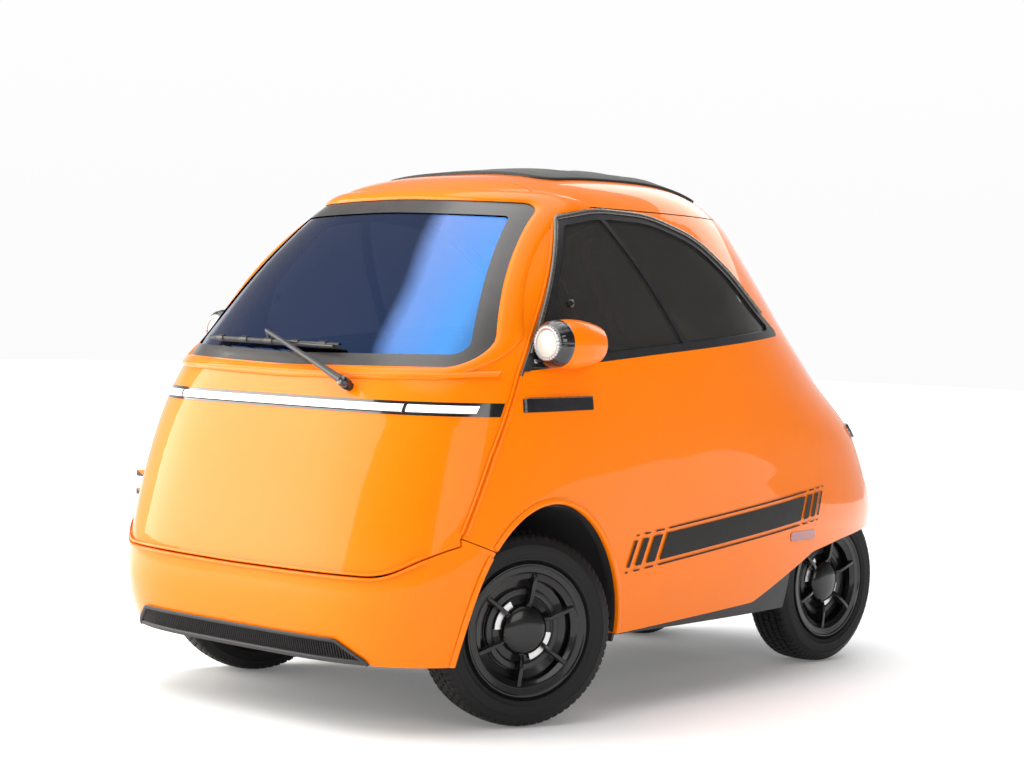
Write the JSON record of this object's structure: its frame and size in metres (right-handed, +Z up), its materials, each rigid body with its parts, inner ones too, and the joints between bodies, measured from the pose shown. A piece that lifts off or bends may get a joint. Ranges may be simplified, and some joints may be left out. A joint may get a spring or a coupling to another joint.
{
  "type": "microcar",
  "caption": "Two-seat electric bubble microcar with a full-width front door, fabric folding roof, tailgate and narrow rear track",
  "frame": {"origin": "on the ground, below the middle of the body's length and width", "axes": "+Z up, -Y the way the car drives, +X the car's left"},
  "size_m": [1.473, 2.5028, 1.501],
  "materials": {
    "paint": "gloss",
    "black_gloss": "gloss",
    "black_matte": "matte",
    "glass": "gloss",
    "dark_glass": "gloss",
    "rubber": "matte",
    "tyre": "matte",
    "wheel_black": "satin",
    "fabric_top": "matte",
    "seat_cloth": "matte",
    "steel": "matte",
    "aluminium": "satin",
    "mirror": "gloss",
    "lamp_red": "gloss",
    "lamp_white": "gloss"
  },
  "bodies": {
    "body": {"floor_tub": "black_matte", "luggage_deck": "black_matte", "side_panel_left": "paint", "side_panel_right": "paint", "roof_shell": "paint", "fabric_top": "fabric_top", "front_bumper": "paint", "intake_grille": "black_matte", "rear_valance": "black_matte", "window_frame_left": "rubber", "window_frame_right": "rubber", "side_glass_left": "dark_glass", "side_glass_right": "dark_glass", "arch_liner_left": "black_matte", "arch_liner_right": "black_matte", "side_strips": "black_gloss", "side_markers": "lamp_red", "pod_shell_left": "paint", "pod_shell_right": "paint", "pod_bezels": "black_gloss", "pod_lenses": "lamp_white", "pod_mirrors": "mirror", "seat_box": "black_matte", "seat_cushion": "seat_cloth", "seat_back": "seat_cloth", "steering_column": "black_matte", "battery_pack": "steel", "drive_unit": "steel", "front_subframe": "steel", "rear_axle": "steel"},
    "front_door": {"door_shell": "paint", "windscreen": "glass", "screen_seal": "rubber", "light_bar": "black_gloss", "wiper": "black_matte", "door_bar": "aluminium"},
    "tailgate": {"tailgate_shell": "paint", "rear_window": "dark_glass", "rear_lamp": "black_gloss"},
    "steering": {"steering_wheel": "black_matte"},
    "carrier_left": {"knuckle_left": "steel"},
    "carrier_right": {"knuckle_right": "steel"},
    "wheel_front_left": {"tyre_front_left": "tyre", "rim_front_left": "wheel_black"},
    "wheel_front_right": {"tyre_front_right": "tyre", "rim_front_right": "wheel_black"},
    "wheel_rear_left": {"tyre_rear_left": "tyre", "rim_rear_left": "wheel_black"},
    "wheel_rear_right": {"tyre_rear_right": "tyre", "rim_rear_right": "wheel_black"}
  },
  "joints": [
    {"name": "front_door_swing", "type": "hinge", "parent": "body", "child": "front_door", "pos_m": [-0.638, -1.041, 0.6], "axis": [0, 0, -1], "range_deg": [0, 75]},
    {"name": "tailgate_lift", "type": "hinge", "parent": "body", "child": "tailgate", "pos_m": [0, 0.409, 1.424], "axis": [1, 0, 0], "range_deg": [0, 70]},
    {"name": "steer_left", "type": "hinge", "parent": "body", "child": "carrier_left", "pos_m": [0.5, -0.724, 0.2555], "axis": [0, 0, 1], "range_deg": [-16, 54]},
    {"name": "steer_right", "type": "hinge", "parent": "body", "child": "carrier_right", "pos_m": [-0.5, -0.724, 0.2555], "axis": [0, 0, 1], "range_deg": [-16, 54]},
    {"name": "steering_wheel_turn", "type": "hinge", "parent": "body", "child": "steering", "pos_m": [0.27, -0.478, 0.8], "axis": [0, 0.8577, 0.5141], "range_deg": [-160, 540]},
    {"name": "spin_front_left", "type": "hinge", "parent": "carrier_left", "child": "wheel_front_left", "pos_m": [0.55673, -0.74353, 0.2555], "axis": [0.9455, -0.3256, 0], "continuous": true},
    {"name": "spin_front_right", "type": "hinge", "parent": "carrier_right", "child": "wheel_front_right", "pos_m": [-0.55673, -0.70447, 0.2555], "axis": [0.9455, -0.3256, 0], "continuous": true},
    {"name": "spin_rear_left", "type": "hinge", "parent": "body", "child": "wheel_rear_left", "pos_m": [0.358, 0.842, 0.2555], "axis": [1, 0, 0], "continuous": true},
    {"name": "spin_rear_right", "type": "hinge", "parent": "body", "child": "wheel_rear_right", "pos_m": [-0.358, 0.842, 0.2555], "axis": [1, 0, 0], "continuous": true}
  ],
  "couplings": [
    {"joint": "steer_right", "follows": "steer_left", "ratio": 1},
    {"joint": "steering_wheel_turn", "follows": "steer_left", "ratio": 10}
  ]
}
